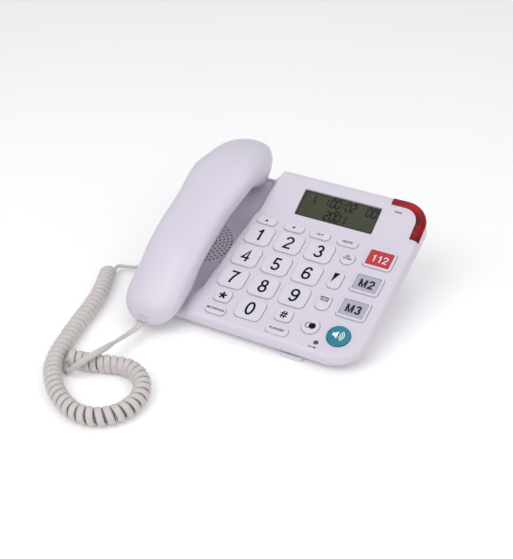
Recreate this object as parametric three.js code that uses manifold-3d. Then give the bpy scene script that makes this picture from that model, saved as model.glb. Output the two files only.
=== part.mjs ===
// A corded desk telephone with large keys: a thin sloping base on a stand, with a deck of keys, a
// steeper display panel behind it, a cradle down the left side, and a handset that lies in the cradle.
// Millimetres. +X is the user's right, +Y is the back and +Z is up. The origin is on the surface
// that the feet stand on, under the middle of the object's box without its curly cord.
import * as THREE from "three";
import { mergeVertices } from "three/addons/utils/BufferGeometryUtils.js";
import Module from "manifold-3d";

const wasm = await Module();
wasm.setup();

// ---- Driving dimensions, in millimetres, with angles in degrees ----
const GAP = 0.3; // between pieces that meet
const WALL = 2.4; // moulded shells
const BASE = { halfWidth: 94.5, front: -66, skirt: 9, bottom: 28, floorZ: 4 }; // floorZ alone is upright
const CORNER = { frontRight: 26, backRight: 20, backLeft: 14, frontLeft: 14 };
const HULL = { topInset: 1.2, bottomInset: 15.2, wall: 2.2 }; // the lower shell draws in as it goes down
const DECK = { y: -9.8, z: 35, tilt: 18.7 }; // the plane of the keys, through the middle key
const FOLD = 43.7; // from the middle key up the deck to the display panel
const DISPLAY = { tilt: 30.1, length: 44.7, left: -33.5 };
const WINDOW = { x: 24.2, y: 19.5, width: 65.7, height: 23.9 };
const STAND = { halfWidth: 62, front: 7, back: 63, wall: 2.2 };
const PITCH = { x: 26, y: 22.57 }; // of the number keys
const KEY = { above: 1.3, flange: 0.9, travel: 1.3, play: 0.35 };
const SIDE = 49.5; // the column of small keys beside the numbers
const MEMORY = { x: 73, width: 23, height: 18.3, radius: 3, top: 1 };
const POCKET = { width: 19.6, height: 15, radius: 1.5, floor: 0.1 }; // in a memory key, for its label
const COVER = { width: 20.4, height: 15.7, radius: 1.6, bevel: 0.9, edge: 0.6 }; // lies on a memory key
const LED = { x: 59, y: -55.6, radius: 1.8 };
const LAMP = { left: 63.5, innerX: 84.5, innerY: 38.3, radius: 10, low: 12.5, depth: 7.5 };
const MEMBRANE = { x: 24.5, y: -9.25, width: 122, height: 100.5, radius: 18, thick: 1.2 };
const BOARD = { thick: 1.6 };
const HOOK = { y: 66, width: 9, length: 14, depth: 9, travel: 4, collar: 1.6 };
const SPEAKER = { radius: 14, magnet: 8, height: 7 };
const TROUGH = { edge: -40.7, flare: 0.055, slope: 10, left: -86, rim: -91.5, rimDrop: 0.35, depth: 13 };
const REST = { front: 2.4, back: 7.4 }; // how deep the cradle is under each end of the handset
const HANDSET = { x: -69.2, along: 11.4, height: 12, length: 198, wall: 2.2, seam: 11.5 };
const GRIP = { halfWidth: 23.5, rise: 23, thick: 22.3 };
const EAR = { halfWidth: 24.6, drop: 19, lift: 4.5, round: 0.68 };
const MOUTH = { halfWidth: 23, drop: 14, lift: 0, round: 0.8 };
const GRILLE = { y: 12, hole: 1.2, ring: 10, around: 6 };
const RECEIVER = { y: 71, z: -7, radius: 14, height: 8, hole: 1.1, ring: 5, around: 6 };
const MICROPHONE = { y: -74, z: -8, radius: 4.8, height: 4, hole: 0.9, pitch: 3 };
const PLUG = { width: 7.6, height: 6, length: 11, shown: 4 };
const BASE_JACK = { x: -88, v: -9.4, n: -20.6, width: 11.4, height: 8.4, depth: 12 };
const LINE_JACK = { x: -21, n: -2.2, width: 13.4, height: 11, depth: 12, socket: [9.8, 7.6] };
const MOUTH_JACK = { inset: 2.5, z: -5.4, width: 10.4, height: 8.2, depth: 11 };
const FOOT = { width: 18, depth: 9, radius: 2 };
const FEET = { front_left: [-75, -56], front_right: [42, -65], rear_left: [-50, 56], rear_right: [50, 56] };
const CORD = { wire: 4.2, curl: 13.5 };

const radians = THREE.MathUtils.degToRad;
const deckCos = Math.cos(radians(DECK.tilt));

// ---- Frames: the deck, the display panel and the handset each have their own ----
const phone = new THREE.Group();
const deck = new THREE.Group();
deck.position.set(0, DECK.y, DECK.z);
deck.rotation.x = radians(DECK.tilt);
phone.add(deck);
const display = new THREE.Group();
display.position.set(0, FOLD, 0);
display.rotation.x = radians(DISPLAY.tilt - DECK.tilt);
deck.add(display);
const handset = new THREE.Group();
handset.position.set(HANDSET.x, HANDSET.along, HANDSET.height);
deck.add(handset);
phone.updateMatrixWorld(true);

// ---- Solids ----
function solid(geometry, matrix) {
  const flat = geometry.index ? geometry.toNonIndexed() : geometry;
  const bare = new THREE.BufferGeometry();
  bare.setAttribute("position", flat.getAttribute("position").clone());
  if (matrix) bare.applyMatrix4(matrix);
  const merged = mergeVertices(bare, 1e-3);
  const vertProperties = merged.attributes.position.array;
  const triVerts = new Uint32Array(merged.index.array);
  return new wasm.Manifold(new wasm.Mesh({ numProp: 3, vertProperties, triVerts }));
}

function geometryOf(made) {
  const mesh = made.getMesh();
  const geometry = new THREE.BufferGeometry();
  geometry.setAttribute("position", new THREE.BufferAttribute(mesh.vertProperties, 3));
  geometry.setIndex(new THREE.BufferAttribute(mesh.triVerts, 1));
  geometry.computeVertexNormals();
  return geometry;
}

function material(color, roughness, metalness = 0, opacity = 1) {
  const transparent = opacity < 1;
  return new THREE.MeshStandardMaterial({ color, roughness, metalness, opacity, transparent });
}

// Adds a sub-part to its frame. A solid cut in the object's own frame goes straight in phone.
function add(frame, name, shape, look, x = 0, y = 0, z = 0) {
  const geometry = shape.getMesh ? geometryOf(shape) : shape;
  const mesh = new THREE.Mesh(geometry, look);
  mesh.name = name;
  mesh.position.set(x, y, z);
  frame.add(mesh);
}

// ---- Outlines and prisms ----
function roundedBox(width, height, radius, grow = 0) {
  const x = width / 2 + grow;
  const y = height / 2 + grow;
  const r = radius + grow;
  const outline = new THREE.Shape();
  outline.absarc(x - r, y - r, r, 0, Math.PI / 2);
  outline.absarc(r - x, y - r, r, Math.PI / 2, Math.PI);
  outline.absarc(r - x, r - y, r, Math.PI, 1.5 * Math.PI);
  outline.absarc(x - r, r - y, r, 1.5 * Math.PI, 2 * Math.PI);
  return outline;
}

const disc = (radius) => roundedBox(2 * radius, 2 * radius, radius);

function prism(outline, from, to, segments = 1) {
  const options = { depth: to - from, bevelEnabled: false, curveSegments: segments };
  return new THREE.ExtrudeGeometry(outline, options).translate(0, 0, from);
}

function box(width, depth, height, x = 0, y = 0, z = 0) {
  return new THREE.BoxGeometry(width, depth, height).translate(x, y, z);
}

function moved(matrix, x, y, z = 0) {
  return matrix.clone().multiply(new THREE.Matrix4().makeTranslation(x, y, z));
}

// A side view drawn in Y and Z, extruded across the object between two X values.
function acrossX(points, fromX, toX) {
  const side = new THREE.Shape(points.map(([y, z]) => new THREE.Vector2(y, z)));
  const turn = new THREE.Matrix4().set(0, 0, 1, fromX, 1, 0, 0, 0, 0, 1, 0, 0, 0, 0, 0, 1);
  return prism(side, 0, toX - fromX).applyMatrix4(turn);
}

// ---- The base's outer form above the skirt's lower edge, and the same form drawn in by a wall ----
const onDeck = (geometry) => solid(geometry, deck.matrixWorld);
const turnUp = radians(DISPLAY.tilt - DECK.tilt);
const BACK = FOLD + DISPLAY.length * Math.cos(turnUp);
const SPAN = 140; // past the object on every side
const DEEP = 60; // past the base above and below

function deckOutline(inset) {
  const right = BASE.halfWidth - inset;
  const outline = new THREE.Shape();
  const corner = (radius, sx, v, sv, from) => {
    const r = Math.max(radius - inset, 2);
    outline.absarc(sx * (right - r), v - sv * r, r, from, from + Math.PI / 2);
  };
  corner(CORNER.backRight, 1, BACK - inset, 1, 0);
  corner(CORNER.backLeft, -1, BACK - inset, 1, Math.PI / 2);
  corner(CORNER.frontLeft, -1, BASE.front + inset, -1, Math.PI);
  corner(CORNER.frontRight, 1, BASE.front + inset, -1, 1.5 * Math.PI);
  return outline;
}

function baseForm(inset, bottom) {
  const flat = [[-SPAN, -inset], [-SPAN, -DEEP], [SPAN, -DEEP], [SPAN, -inset]];
  const start = FOLD - inset * Math.tan(turnUp / 2) - 4;
  const slope = (v) => (v - FOLD) * Math.tan(turnUp) - inset / Math.cos(turnUp);
  const under = -inset - 3;
  const raised = [[start, slope(start)], [start, under], [SPAN, under], [SPAN, slope(SPAN)]];
  const lowBlock = onDeck(acrossX(flat, -SPAN, SPAN));
  const raisedBlock = onDeck(acrossX(raised, DISPLAY.left + inset, SPAN));
  const plan = onDeck(prism(deckOutline(inset), bottom, DEEP, 3));
  return lowBlock.add(raisedBlock).intersect(plan);
}

const aboveFloor = (inset) => solid(box(2 * SPAN, 2 * SPAN, 100, 0, 0, BASE.floorZ + inset + 50));

// The lower shell's outer form: flat on the underside at the front, then parallel to the deck.
function hullForm(inset) {
  const drawIn = HULL.bottomInset - HULL.topInset;
  const bottom = BASE.bottom - inset;
  const deepest = deckOutline(HULL.bottomInset + inset);
  const above = 12;
  const geometry = new THREE.ExtrudeGeometry(deepest, {
    depth: above,
    bevelThickness: BASE.bottom - BASE.skirt,
    bevelSize: drawIn,
    bevelSegments: 1,
    curveSegments: 3,
  }).translate(0, 0, -BASE.skirt + inset);
  const top = -BASE.skirt - GAP + inset;
  const belowSkirt = onDeck(box(2 * SPAN, 2 * SPAN, bottom, 0, 0, top - bottom / 2));
  return onDeck(geometry).intersect(belowSkirt).intersect(aboveFloor(inset));
}

// ---- The cradle: one long hollow, deep under the grip and shallow under both ends ----
function cradleDepth(v) {
  const front = THREE.MathUtils.smoothstep(v, -48, -26);
  const back = THREE.MathUtils.smoothstep(v, 38, 54);
  const middle = REST.front + (TROUGH.depth - REST.front) * front;
  return middle + (REST.back - middle) * back;
}

function cradle(grow) {
  const half = new THREE.Shape();
  const above = 45;
  const outside = -BASE.halfWidth - 20;
  half.moveTo(TROUGH.edge, above);
  const steps = 4;
  for (let i = 0; i <= steps; i++) {
    const down = (1 - Math.cos((Math.PI * i) / steps)) / 2;
    half.lineTo(TROUGH.edge - (TROUGH.slope * i) / steps, -down);
  }
  half.lineTo(TROUGH.left, -1);
  half.lineTo(TROUGH.rim, -TROUGH.rimDrop);
  half.lineTo(outside, -TROUGH.rimDrop);
  half.lineTo(outside, above);
  const ends = [-90, 110];
  const geometry = new THREE.ExtrudeGeometry(half, {
    depth: ends[1] - ends[0],
    steps: 20,
    bevelEnabled: false,
  });
  const place = geometry.attributes.position;
  for (let i = 0; i < place.count; i++) {
    const v = ends[1] - place.getZ(i);
    const onRight = place.getX(i) > TROUGH.left;
    const x = place.getX(i) + (onRight ? TROUGH.flare * v + grow : 0);
    const n = place.getY(i) > 0 ? place.getY(i) : place.getY(i) * cradleDepth(v) - grow;
    place.setXYZ(i, x, v, n);
  }
  return onDeck(geometry);
}

// ---- Keys: name, place on the deck, outline, colour ----
const THROUGH = 9; // cuts go this far above and below the deck
const COLOR = {
  shell: 0xdcd7e2,
  key: 0xe2dfe8,
  handset: 0xe1dee9,
  dark: 0x2b2d2a,
  glass: 0x6f7264,
  lens: 0xb0101a,
  teal: 0x14a0af,
  cord: 0xcdc5c4,
  rubber: 0xd9d6dc,
  board: 0x2f6b3c,
  membrane: 0xb8b8b8,
  led: 0x7a1420,
  plug: 0xe8e4dc,
  metal: 0xb9b9bd,
  alert: 0xe1555a,
  label: 0xc8c6dc,
};
const keyLook = () => material(COLOR.key, 0.45);

const keys = [];
[["1", "2", "3"], ["4", "5", "6"], ["7", "8", "9"]].forEach((row, down) =>
  row.forEach((digit, across) => {
    const x = (across - 1) * PITCH.x + 0.5;
    const y = (1 - down) * PITCH.y - 0.5;
    keys.push({ name: "key_" + digit, x, y, outline: (g) => roundedBox(21.6, 19.4, 4.5, g) });
  }),
);
keys.push({ name: "key_0", x: 0.5, y: -45.5, outline: (g) => roundedBox(21.6, 19, 4.5, g) });
keys.push({ name: "key_star", x: -24.8, y: -41.5, outline: (g) => roundedBox(13.4, 11.4, 3.5, g) });
keys.push({ name: "key_hash", x: 26.8, y: -42, outline: (g) => roundedBox(13.4, 11.4, 3.5, g) });
const SOFT_KEYS = [["key_up", -26.2], ["key_down", -2.5], ["key_out", 20], ["key_delete", 43.3]];
for (const [name, x] of SOFT_KEYS)
  keys.push({ name, x, y: 37.4, outline: (g) => roundedBox(17, 7, 3.4, g) });
keys.push({ name: "key_store", x: SIDE, y: 23.4, segments: 2, outline: (g) => disc(5.8 + g) });
keys.push({ name: "key_volume", x: SIDE, y: 1, outline: (g) => roundedBox(10, 16, 3.5, g) });
keys.push({ name: "key_redial", x: SIDE, y: -21, outline: (g) => roundedBox(10.6, 14.5, 4.6, g) });
keys.push({ name: "key_swap", x: SIDE, y: -44.2, segments: 2, outline: (g) => disc(6.9 + g) });
keys.push({ name: "key_hold", x: -24.1, y: -55.2, outline: (g) => roundedBox(17, 7.6, 3.7, g) });
keys.push({ name: "key_flash", x: 27.7, y: -56, outline: (g) => roundedBox(18, 7.8, 3.8, g) });
const speaker = {
  name: "speaker_button",
  x: 72.4,
  y: -45.3,
  segments: 3,
  outline: (g) => disc(9.4 + g),
};
const memory = [["1", 30.4, COLOR.alert], ["2", 5.3, COLOR.label], ["3", -19.4, COLOR.label]].map(
  ([digit, y, color]) => ({
    name: "memory_key_" + digit,
    digit,
    color,
    x: MEMORY.x,
    y,
    outline: (g) => roundedBox(MEMORY.width, MEMORY.height, MEMORY.radius, g),
  }),
);

// A key's cap passes through the deck, and its wider foot under the deck keeps it in.
const UNDER = -WALL - 0.4;
const KEY_FOOT = UNDER - 1.2;
function keyCap({ outline, segments = 1 }, top = KEY.above) {
  const cap = solid(prism(outline(0), (UNDER + KEY_FOOT) / 2, top, segments));
  return cap.add(solid(prism(outline(KEY.flange), KEY_FOOT, UNDER, segments)));
}

function keyHole({ outline, x, y, segments = 1 }) {
  return solid(prism(outline(KEY.play), -THROUGH, THROUGH, segments), moved(deck.matrixWorld, x, y));
}

function addKeys() {
  for (const key of keys) add(deck, key.name, keyCap(key), keyLook(), key.x, key.y);
  const teal = material(COLOR.teal, 0.35);
  add(deck, speaker.name, keyCap(speaker), teal, speaker.x, speaker.y);
  const pocket = roundedBox(POCKET.width, POCKET.height, POCKET.radius);
  const label = roundedBox(POCKET.width, POCKET.height, POCKET.radius, -GAP);
  for (const key of memory) {
    const hollow = solid(prism(pocket, POCKET.floor, THROUGH));
    add(deck, key.name, keyCap(key, MEMORY.top).subtract(hollow), keyLook(), key.x, key.y);
    const paper = prism(label, POCKET.floor + GAP, POCKET.floor + 2 * GAP);
    add(deck, "memory_label_" + key.digit, paper, material(key.color, 0.8), key.x, key.y);
    const cover = new THREE.ExtrudeGeometry(roundedBox(COVER.width, COVER.height, COVER.radius), {
      depth: COVER.edge,
      bevelThickness: COVER.edge,
      bevelSize: COVER.bevel,
      bevelSegments: 1,
      curveSegments: 1,
    }).translate(0, 0, MEMORY.top + GAP + COVER.edge);
    const clear = material(0xffffff, 0.1, 0, 0.35);
    add(deck, "memory_cover_" + key.digit, cover, clear, key.x, key.y);
  }
}

// ---- The corner lamp: a band of clear red round the display panel's back right corner ----
function lampBand(grow) {
  const band = new THREE.Shape();
  const x = LAMP.innerX - grow;
  const y = LAMP.innerY - grow;
  const low = LAMP.low - grow;
  const lean = 0.8;
  band.moveTo(LAMP.left - grow, SPAN);
  band.lineTo(LAMP.left - grow, y);
  band.absarc(x - LAMP.radius, y - LAMP.radius, LAMP.radius, Math.PI / 2, 0, true);
  band.lineTo(x + lean, low);
  band.lineTo(SPAN, low);
  band.lineTo(SPAN, SPAN);
  return solid(prism(band, -LAMP.depth - grow, THROUGH, 3), display.matrixWorld);
}

// ---- Sound openings ----
const ringSpots = (radius, count) =>
  Array.from({ length: count }, (_, i) => {
    const turn = (2 * Math.PI * i) / count;
    return [radius * Math.cos(turn), radius * Math.sin(turn)];
  });

function soundHole(radius, length, x, y, z) {
  return new THREE.CylinderGeometry(radius, radius, length, 6).rotateX(Math.PI / 2).translate(x, y, z);
}

function grilleHoles() {
  return [[0, 0], ...ringSpots(GRILLE.ring, GRILLE.around)].map(([x, y]) =>
    onDeck(soundHole(GRILLE.hole, 12, HANDSET.x + x, GRILLE.y + y, -TROUGH.depth)),
  );
}

// ---- The hook: a plunger in the cradle under the earpiece ----
const hookOutline = (grow) => roundedBox(HOOK.width, HOOK.length, 2, grow);

function hookPlunger() {
  const top = -REST.back - GAP;
  const post = solid(prism(hookOutline(0), top - HOOK.depth, top));
  const collar = top - WALL - HOOK.travel - GAP;
  return post.add(solid(prism(hookOutline(1.5), collar - HOOK.collar, collar)));
}

// ---- Jacks: a block with a socket, seen along the way the plug leaves (-X here) ----
function jack(width, height, depth, socketWidth, socketHeight) {
  const block = solid(box(depth, width, height, depth / 2, 0, 0));
  const socketDepth = depth - 2;
  return block.subtract(solid(box(2 * socketDepth, socketWidth, socketHeight, 0, 0, 0)));
}

// ---- Base ----
function sideJackRoom() {
  const room = box(40, BASE_JACK.width + 2 * GAP, BASE_JACK.height + 2 * GAP);
  return onDeck(room.translate(BASE_JACK.x - 4, BASE_JACK.v, BASE_JACK.n));
}

function rearJackRoom() {
  const room = box(LINE_JACK.width + 2 * GAP, 12, LINE_JACK.height + 2 * GAP);
  return onDeck(room.translate(LINE_JACK.x, BACK, LINE_JACK.n));
}

function upperShell() {
  const skin = baseForm(WALL + 2, -40).intersect(cradle(WALL));
  const roomy = baseForm(WALL, -DEEP).subtract(cradle(WALL));
  let shell = baseForm(0, -BASE.skirt).add(skin).subtract(cradle(0)).subtract(roomy);
  shell = shell.subtract(lampBand(GAP)).subtract(rearJackRoom());
  for (const key of [...keys, ...memory, speaker]) shell = shell.subtract(keyHole(key));
  for (const hole of grilleHoles()) shell = shell.subtract(hole);
  const windowHole = prism(roundedBox(WINDOW.width, WINDOW.height, 1, GAP), -THROUGH, THROUGH);
  shell = shell.subtract(solid(windowHole, moved(display.matrixWorld, WINDOW.x, WINDOW.y)));
  const hookHole = prism(hookOutline(GAP), -2 * THROUGH, 0);
  shell = shell.subtract(solid(hookHole, moved(deck.matrixWorld, HANDSET.x, HOOK.y)));
  const ledHole = prism(disc(LED.radius + GAP), -THROUGH, THROUGH);
  return shell.subtract(solid(ledHole, moved(deck.matrixWorld, LED.x, LED.y)));
}

function lowerShell() {
  const lip = { top: -6.5, low: -12, wall: 2 };
  const inset = WALL + GAP;
  const ring = onDeck(prism(deckOutline(inset), lip.low, lip.top, 3));
  const core = onDeck(prism(deckOutline(inset + lip.wall), lip.low - 1, lip.top + 1, 3));
  const tray = hullForm(0).subtract(hullForm(HULL.wall)).subtract(core);
  const shell = tray.add(ring.subtract(core)).intersect(aboveFloor(0));
  return shell.subtract(cradle(WALL + GAP)).subtract(sideJackRoom()).subtract(rearJackRoom());
}

// The wedge that holds the base at its angle: open above, and drawn in X across the object.
function standForm(inset, top) {
  const lower = BASE.floorZ + inset;
  const rise = (y) => DECK.z + (y - DECK.y) * Math.tan(radians(DECK.tilt)) - top / deckCos;
  const front = STAND.front + inset;
  const back = STAND.back - inset;
  const side = [[front, lower], [back, lower], [back, rise(back)], [front, rise(front)]];
  return solid(acrossX(side, -STAND.halfWidth + inset, STAND.halfWidth - inset));
}

function addBase() {
  const shellLook = () => material(COLOR.shell, 0.45);
  add(phone, "base_upper_shell", upperShell(), shellLook());
  const lamp = baseForm(0, -BASE.skirt).intersect(lampBand(0));
  add(phone, "ring_lamp_lens", lamp, material(COLOR.lens, 0.08));
  add(phone, "base_lower_shell", lowerShell(), shellLook());
  const stand = standForm(0, BASE.bottom + GAP).subtract(standForm(STAND.wall, BASE.bottom - 4));
  add(phone, "desk_stand", stand, shellLook());
  for (const [name, [x, y]] of Object.entries(FEET)) {
    const pad = prism(roundedBox(FOOT.width, FOOT.depth, FOOT.radius), 0, BASE.floorZ - GAP);
    add(phone, "foot_" + name, pad, material(COLOR.rubber, 0.7), x, y);
  }
}

function addInside() {
  const glass = prism(roundedBox(WINDOW.width, WINDOW.height, 1), -1.5, -GAP);
  add(display, "display_window", glass, material(COLOR.glass, 0.15), WINDOW.x, WINDOW.y);
  const moduleDepth = 5;
  const moduleZ = -WALL - GAP - moduleDepth / 2;
  const module = box(WINDOW.width + 5, WINDOW.height + 4, moduleDepth, 0, 0, moduleZ);
  add(display, "display_module", module, material(COLOR.dark, 0.5), WINDOW.x, WINDOW.y);
  const sheet = roundedBox(MEMBRANE.width, MEMBRANE.height, MEMBRANE.radius);
  const sheetTop = KEY_FOOT - KEY.travel - GAP;
  const sheetLow = sheetTop - MEMBRANE.thick;
  const rubber = material(COLOR.membrane, 0.8);
  add(deck, "keypad_membrane", prism(sheet, sheetLow, sheetTop), rubber, MEMBRANE.x, MEMBRANE.y);
  const board = prism(sheet, sheetLow - GAP - BOARD.thick, sheetLow - GAP);
  add(deck, "main_board", board, material(COLOR.board, 0.6), MEMBRANE.x, MEMBRANE.y);
  const led = prism(disc(LED.radius), -5, 0.6);
  add(deck, "status_led", led, material(COLOR.led, 0.2), LED.x, LED.y);
  const cone = new THREE.CylinderGeometry(SPEAKER.radius, SPEAKER.magnet, SPEAKER.height, 20);
  const coneZ = -TROUGH.depth - WALL - GAP - SPEAKER.height / 2;
  const speakerLook = material(COLOR.dark, 0.6);
  add(deck, "loudspeaker", cone.rotateX(Math.PI / 2), speakerLook, HANDSET.x, GRILLE.y, coneZ);
  add(deck, "hook_plunger", hookPlunger(), keyLook(), HANDSET.x, HOOK.y);
  const switchHeight = 6;
  const switchZ = -REST.back - HOOK.depth - 2 * GAP - switchHeight / 2;
  const switchBody = box(10, 12, switchHeight);
  add(deck, "hook_switch", switchBody, material(COLOR.dark, 0.5), HANDSET.x, HOOK.y, switchZ);
  const dark = material(COLOR.dark, 0.4);
  const { width, height, depth } = BASE_JACK;
  const side = jack(width, height, depth, PLUG.width + 1, PLUG.height + 1);
  add(deck, "base_handset_jack", side, dark, BASE_JACK.x, BASE_JACK.v, BASE_JACK.n);
  const socket = jack(LINE_JACK.width, LINE_JACK.height, LINE_JACK.depth, ...LINE_JACK.socket);
  const rear = geometryOf(socket).rotateZ(-Math.PI / 2);
  add(deck, "line_jack", rear, dark.clone(), LINE_JACK.x, BACK - GAP, LINE_JACK.n);
}

// ---- Handset: a ball drawn out along its length into a grip with two deeper ends ----
const ease = (from, to, value) => THREE.MathUtils.smoothstep(value, from, to);
const roundEnd = (start, power, value) =>
  Math.sqrt(1 - Math.pow(Math.max(0, (value - start) / (1 - start)), power));

function handsetSection(s) {
  const out = Math.min(Math.abs(s), 1);
  const end = s > 0 ? EAR : MOUTH;
  const width = GRIP.halfWidth + (end.halfWidth - GRIP.halfWidth) * ease(0.25, 0.75, out);
  const top = GRIP.rise * (1 - s * s) + end.lift * ease(0.1, 0.75, out);
  const cheek = ease(0.4, 0.65, out);
  const bottom = (1 - cheek) * (top - GRIP.thick) - cheek * end.drop;
  const height = ((top - bottom) / 2) * Math.max(roundEnd(0.86, 2.2, out), 0.05);
  const middle = (top + bottom) / 2;
  return { width: width * roundEnd(end.round, 2.4, out), middle, height };
}

function handsetForm(inset) {
  const ball = new THREE.SphereGeometry(1, 20, 22);
  const place = ball.attributes.position;
  const power = 2 / 2.6; // between an ellipse and a rounded box
  const squared = (value) => Math.sign(value) * Math.pow(Math.abs(value), power);
  for (let i = 0; i < place.count; i++) {
    const s = THREE.MathUtils.clamp(place.getY(i), -1, 1);
    const round = Math.hypot(place.getX(i), place.getZ(i));
    const section = handsetSection(s);
    const across = round > 1e-6 ? squared(place.getX(i) / round) : 0;
    const up = round > 1e-6 ? squared(place.getZ(i) / round) : 0;
    const x = across * Math.max(section.width - inset, 0.2);
    const z = section.middle + up * Math.max(section.height - inset, 0.2);
    place.setXYZ(i, x, s * (HANDSET.length / 2 - inset), z);
  }
  return solid(ball);
}

// Everything below the line where the two handset shells meet.
function belowSeam(lower) {
  const points = [];
  const steps = 16;
  const half = HANDSET.length / 2 + 4;
  for (let i = 0; i <= steps; i++) {
    const s = 1 - (2 * i) / steps;
    points.push([s * half, 0.85 * GRIP.rise * (1 - s * s) - HANDSET.seam - lower]);
  }
  points.push([-half, -60], [half, -60]);
  return solid(acrossX(points, -60, 60));
}

const handsetHoles = ({ y, hole }, spots) =>
  spots.map(([dx, dy]) => solid(soundHole(hole, 30, dx, y + dy, -22)));

function addHandset() {
  const form = handsetForm(0).subtract(handsetForm(HANDSET.wall));
  const look = material(COLOR.handset, 0.4);
  const { width, height, depth, z } = MOUTH_JACK;
  const entry = solid(box(width + 2 * GAP, 24, height + 2 * GAP, 0, -HANDSET.length / 2, z));
  const outer = form.subtract(belowSeam(0)).subtract(entry);
  add(handset, "handset_outer_shell", outer, look);
  const earSpots = [[0, 0], ...ringSpots(RECEIVER.ring, RECEIVER.around)];
  const mouthSpots = [-1, 0, 1].map((i) => [i * MICROPHONE.pitch, 0]);
  let inner = form.intersect(belowSeam(GAP)).subtract(entry);
  for (const hole of handsetHoles(RECEIVER, earSpots)) inner = inner.subtract(hole);
  for (const hole of handsetHoles(MICROPHONE, mouthSpots)) inner = inner.subtract(hole);
  add(handset, "handset_inner_shell", inner, look.clone());

  const capsule = ({ radius, height: tall }, sides) =>
    new THREE.CylinderGeometry(radius, radius, tall, sides).rotateX(Math.PI / 2);
  const dark = material(COLOR.dark, 0.5);
  add(handset, "receiver_capsule", capsule(RECEIVER, 20), dark, 0, RECEIVER.y, RECEIVER.z);
  const metal = material(COLOR.metal, 0.4, 0.8);
  add(handset, "microphone_capsule", capsule(MICROPHONE, 14), metal, 0, MICROPHONE.y, MICROPHONE.z);
  const mouthFace = -HANDSET.length / 2 + MOUTH_JACK.inset;
  const block = jack(width, height, depth, PLUG.width + 0.8, PLUG.height + 0.8);
  const turned = geometryOf(block).rotateZ(Math.PI / 2);
  add(handset, "handset_jack", turned, dark.clone(), 0, mouthFace, z);
  const plug = box(PLUG.width, PLUG.length, PLUG.height, 0, PLUG.length / 2 - PLUG.shown, 0);
  add(handset, "cord_plug_handset", plug, material(COLOR.plug, 0.2, 0, 0.6), 0, mouthFace, z);
}

// ---- The handset cord: two plain tails and a curl between them, lying on the surface ----
const BASE_TAIL = [
  [-92.6, -12, 12.5],
  [-97.5, -12.2, 12],
  [-106, -16.2, 9],
  [-112.5, -21.2, 6.8],
  [-119, -26.6, 5.2],
  [-127, -28.6, 5],
  [-134.3, -31.6, 5.6],
  [-137.6, -35.2, 6.4],
  [-136.4, -38.6, 7],
  [-134.75, -40.95, 7],
];
const CURL = [
  [-134.4, -41.5],
  [-121, -67.8],
  [-116, -87.8],
  [-112.5, -110.8],
  [-107.5, -134.8],
  [-104, -153.3],
  [-98, -167.3],
  [-86, -180.8],
  [-71, -191.3],
  [-55, -196.3],
  [-42, -193.3],
  [-32, -184.3],
  [-27.5, -171.3],
  [-30, -156.3],
  [-39, -144.8],
  [-52, -139.8],
  [-65, -142.3],
  [-76, -146.3],
  [-87, -147.8],
];
const HANDSET_TAIL = [
  [-87.5, -147.87, 7],
  [-92.8, -148.9, 7],
  [-94.5, -153.8, 6.5],
  [-91, -159.7, 6],
  [-85.5, -160.8, 7],
  [-80.5, -159.1, 10.5],
  [-75.5, -154.8, 14.8],
  [-71.8, -147.8, 16.9],
  [-70.8, -137.3, 16.4],
  [-71.2, -122.3, 13.4],
  [-70.6, -110.3, 11.2],
  [-69.6, -102.5, 11],
  [-69.2, -96.75, 12.5],
];

// A tube along a smooth curve through its points, of a round section.
function tube(points, diameter, sides, steps) {
  const knots = points.map((point) => new THREE.Vector3(...point));
  const route = new THREE.CatmullRomCurve3(knots, false, "centripetal");
  const section = new THREE.Shape();
  for (let i = 0; i < sides; i++) {
    const turn = (2 * Math.PI * i) / sides;
    const x = (diameter / 2) * Math.cos(turn);
    const y = (diameter / 2) * Math.sin(turn);
    if (i === 0) section.moveTo(x, y);
    else section.lineTo(x, y);
  }
  return new THREE.ExtrudeGeometry(section, { steps, extrudePath: route, bevelEnabled: false });
}

function addCord() {
  const look = material(COLOR.cord, 0.55);
  const plug = box(PLUG.length, PLUG.width, PLUG.height, PLUG.length / 2 - PLUG.shown, 0, 0);
  const clear = material(COLOR.plug, 0.2, 0, 0.6);
  add(deck, "cord_plug_base", plug, clear, BASE_JACK.x, BASE_JACK.v, BASE_JACK.n);
  add(phone, "cord_tail_base", tube(BASE_TAIL, CORD.wire, 8, 8), look);
  const lying = CURL.map(([x, y]) => [x, y, CORD.curl / 2 + GAP]);
  add(phone, "cord_curl", tube(lying, CORD.curl, 12, 30), look.clone());
  add(phone, "cord_tail_handset", tube(HANDSET_TAIL, CORD.wire, 8, 14), look.clone());
}

addBase();
addInside();
addKeys();
addHandset();
addCord();

export default phone;
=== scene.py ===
import bmesh
import bpy
import math
import numpy as np
from mathutils import Matrix, Vector, geometry


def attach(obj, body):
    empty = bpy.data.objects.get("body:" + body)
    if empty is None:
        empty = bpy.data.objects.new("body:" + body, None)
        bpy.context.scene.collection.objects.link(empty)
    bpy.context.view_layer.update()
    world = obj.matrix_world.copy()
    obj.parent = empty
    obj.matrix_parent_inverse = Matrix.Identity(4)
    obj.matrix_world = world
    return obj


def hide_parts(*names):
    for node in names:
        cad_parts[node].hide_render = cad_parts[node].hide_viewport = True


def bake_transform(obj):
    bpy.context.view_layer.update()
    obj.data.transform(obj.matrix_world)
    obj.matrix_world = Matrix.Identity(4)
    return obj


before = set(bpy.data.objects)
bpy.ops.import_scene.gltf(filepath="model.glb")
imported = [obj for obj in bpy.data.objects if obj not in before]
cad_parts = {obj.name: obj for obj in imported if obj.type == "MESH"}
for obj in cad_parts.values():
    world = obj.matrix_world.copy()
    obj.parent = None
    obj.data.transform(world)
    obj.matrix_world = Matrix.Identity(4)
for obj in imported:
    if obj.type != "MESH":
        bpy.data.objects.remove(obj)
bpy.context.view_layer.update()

MM = 0.001
DECK_TILT = math.radians(18.7)
DISPLAY_TILT = math.radians(11.4)  # more than the deck
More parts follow.
